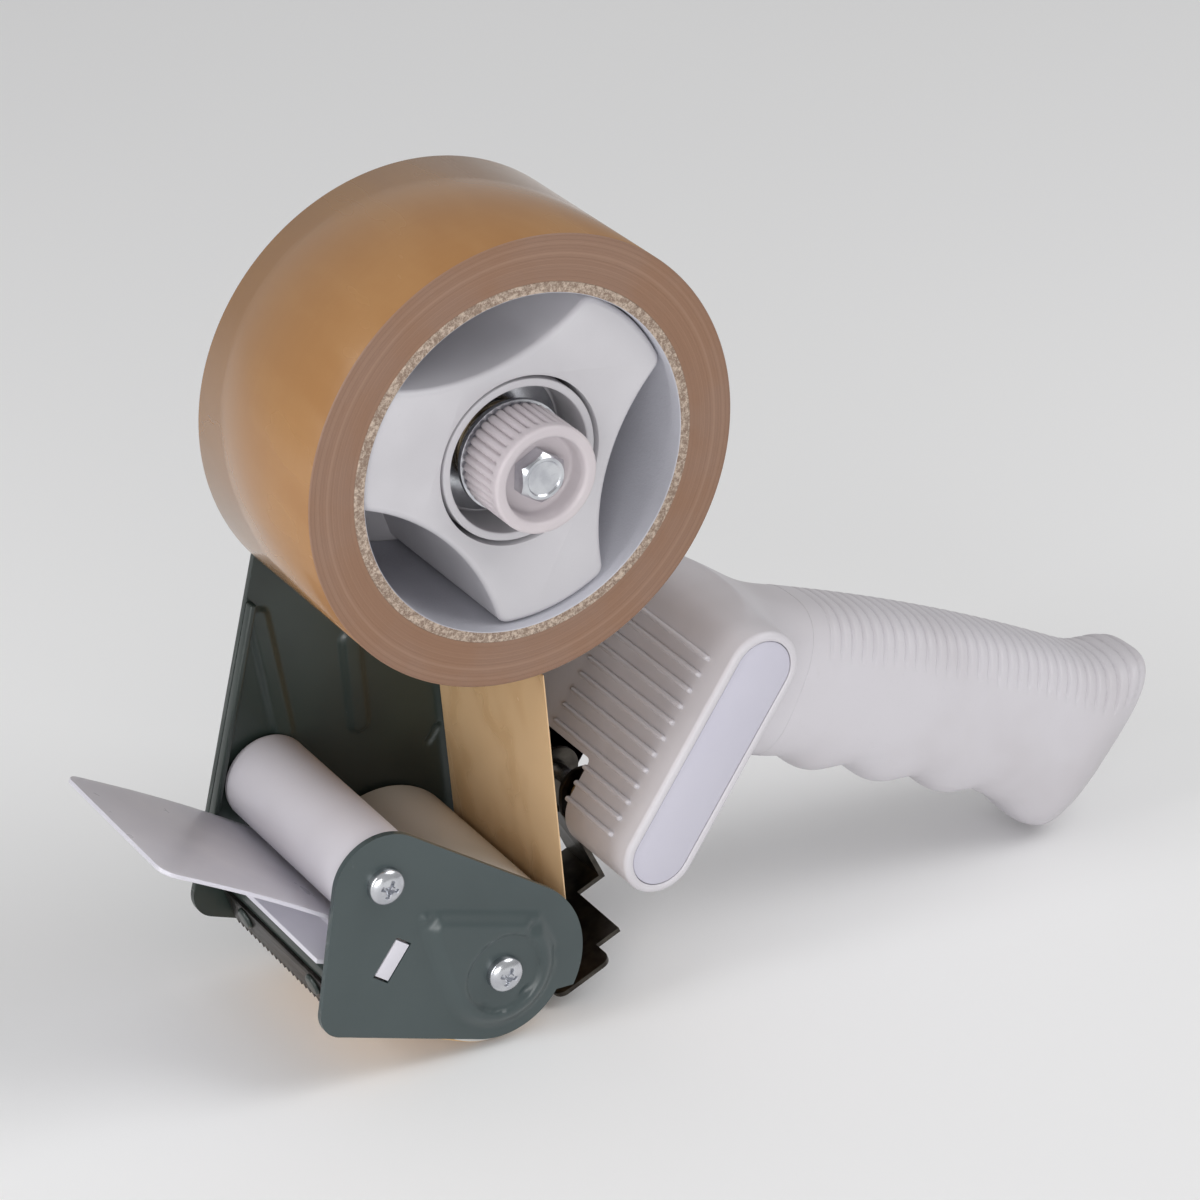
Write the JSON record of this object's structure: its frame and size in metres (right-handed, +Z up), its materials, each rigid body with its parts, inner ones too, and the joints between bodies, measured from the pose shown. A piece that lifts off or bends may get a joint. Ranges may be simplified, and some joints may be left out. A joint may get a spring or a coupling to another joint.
{
  "type": "packing tape dispenser",
  "caption": "Hand tape gun with a braked roll hub, two rollers, toothed blade, plastic wiper, sprung backstop and ribbed pistol grip.",
  "frame": {"origin": "middle of the overall box on the floor that the tool rests on", "axes": "+X from the blade back to the grip, +Y from the open side to the frame side, +Z up"},
  "size_m": [0.2759, 0.068, 0.1901],
  "materials": {
    "frame_paint": "semi-gloss powder coat",
    "zinc_steel": "bright zinc plate",
    "blade_steel": "dark oiled steel",
    "lever_steel": "dark plated steel with bright cut edges",
    "spring_steel": "drawn wire",
    "hub_plastic": "satin moulding",
    "handle_plastic": "satin moulding",
    "roller_plastic": "satin moulding",
    "wiper_plastic": "translucent",
    "tape_film": "glossy film",
    "paper_core": "grey board"
  },
  "bodies": {
    "frame": {"frame_side_plate": "frame_paint", "near_cheek_plate": "frame_paint", "blade_carrier": "frame_paint", "cutting_blade": "blade_steel", "blade_rivets": "zinc_steel", "wiper_bar": "wiper_plastic", "roller_axle": "zinc_steel", "guide_roller_axle": "zinc_steel", "near_axle_screws": "zinc_steel", "far_axle_screws": "zinc_steel", "spindle_sleeve": "zinc_steel", "friction_washer": "zinc_steel", "brake_spring": "spring_steel", "spindle_nut": "zinc_steel", "tape_web": "tape_film", "handle": "handle_plastic", "handle_end_cap": "handle_plastic", "handle_screws": "zinc_steel", "lever_pin": "zinc_steel", "lever_pin_clip": "zinc_steel", "lever_spring": "spring_steel"},
    "hub": {"tape_hub": "hub_plastic", "brake_cup": "hub_plastic"},
    "tape": {"tape_core": "paper_core", "tape_roll": "tape_film"},
    "application_roller": {"application_roller": "roller_plastic", "roller_end_plugs": "roller_plastic"},
    "guide_roller": {"guide_roller": "roller_plastic"},
    "brake_follower": {"thrust_washer": "zinc_steel"},
    "knob": {"brake_knob": "hub_plastic", "spindle_bolt": "zinc_steel"},
    "backstop_lever": {"backstop_lever": "lever_steel"},
    "wiper_flap": {"wiper_flap": "wiper_plastic"}
  },
  "joints": [
    {"name": "tape_roll_spin", "type": "hinge", "parent": "frame", "child": "hub", "pos_m": [-0.05321, 0, 0.1391], "axis": [0, 1, 0], "continuous": true},
    {"name": "tape_roll_removal", "type": "slide", "parent": "hub", "child": "tape", "axis": [0, -1, 0], "range_m": [0, 0.055]},
    {"name": "application_roller_spin", "type": "hinge", "parent": "frame", "child": "application_roller", "pos_m": [-0.05841, 0, 0.0197], "axis": [0, 1, 0], "continuous": true},
    {"name": "guide_roller_spin", "type": "hinge", "parent": "frame", "child": "guide_roller", "pos_m": [-0.08771, 0, 0.0492], "axis": [0, 1, 0], "continuous": true},
    {"name": "knob_advance", "type": "slide", "parent": "frame", "child": "brake_follower", "axis": [0, 1, 0], "range_m": [-0.001, 0.002], "deforming": ["brake_spring"]},
    {"name": "knob_turn", "type": "hinge", "parent": "brake_follower", "child": "knob", "pos_m": [-0.05321, 0, 0.1391], "axis": [0, 1, 0], "range_deg": [-361, 721]},
    {"name": "backstop_swing", "type": "hinge", "parent": "frame", "child": "backstop_lever", "pos_m": [-0.01771, 0, 0.0377], "axis": [0, -1, 0], "range_deg": [0, 8], "stiffness_Nm_per_rad": 0.05, "springref_deg": -17.19},
    {"name": "wiper_flex", "type": "hinge", "parent": "frame", "child": "wiper_flap", "pos_m": [-0.08657, 0, 0.03425], "axis": [0, 1, 0], "range_deg": [-15, 5], "stiffness_Nm_per_rad": 0.5}
  ],
  "couplings": [
    {"joint": "application_roller_spin", "follows": "tape_roll_spin", "ratio": -2.6425},
    {"joint": "knob_turn", "follows": "knob_advance", "rad_per_m": 6283.2}
  ]
}
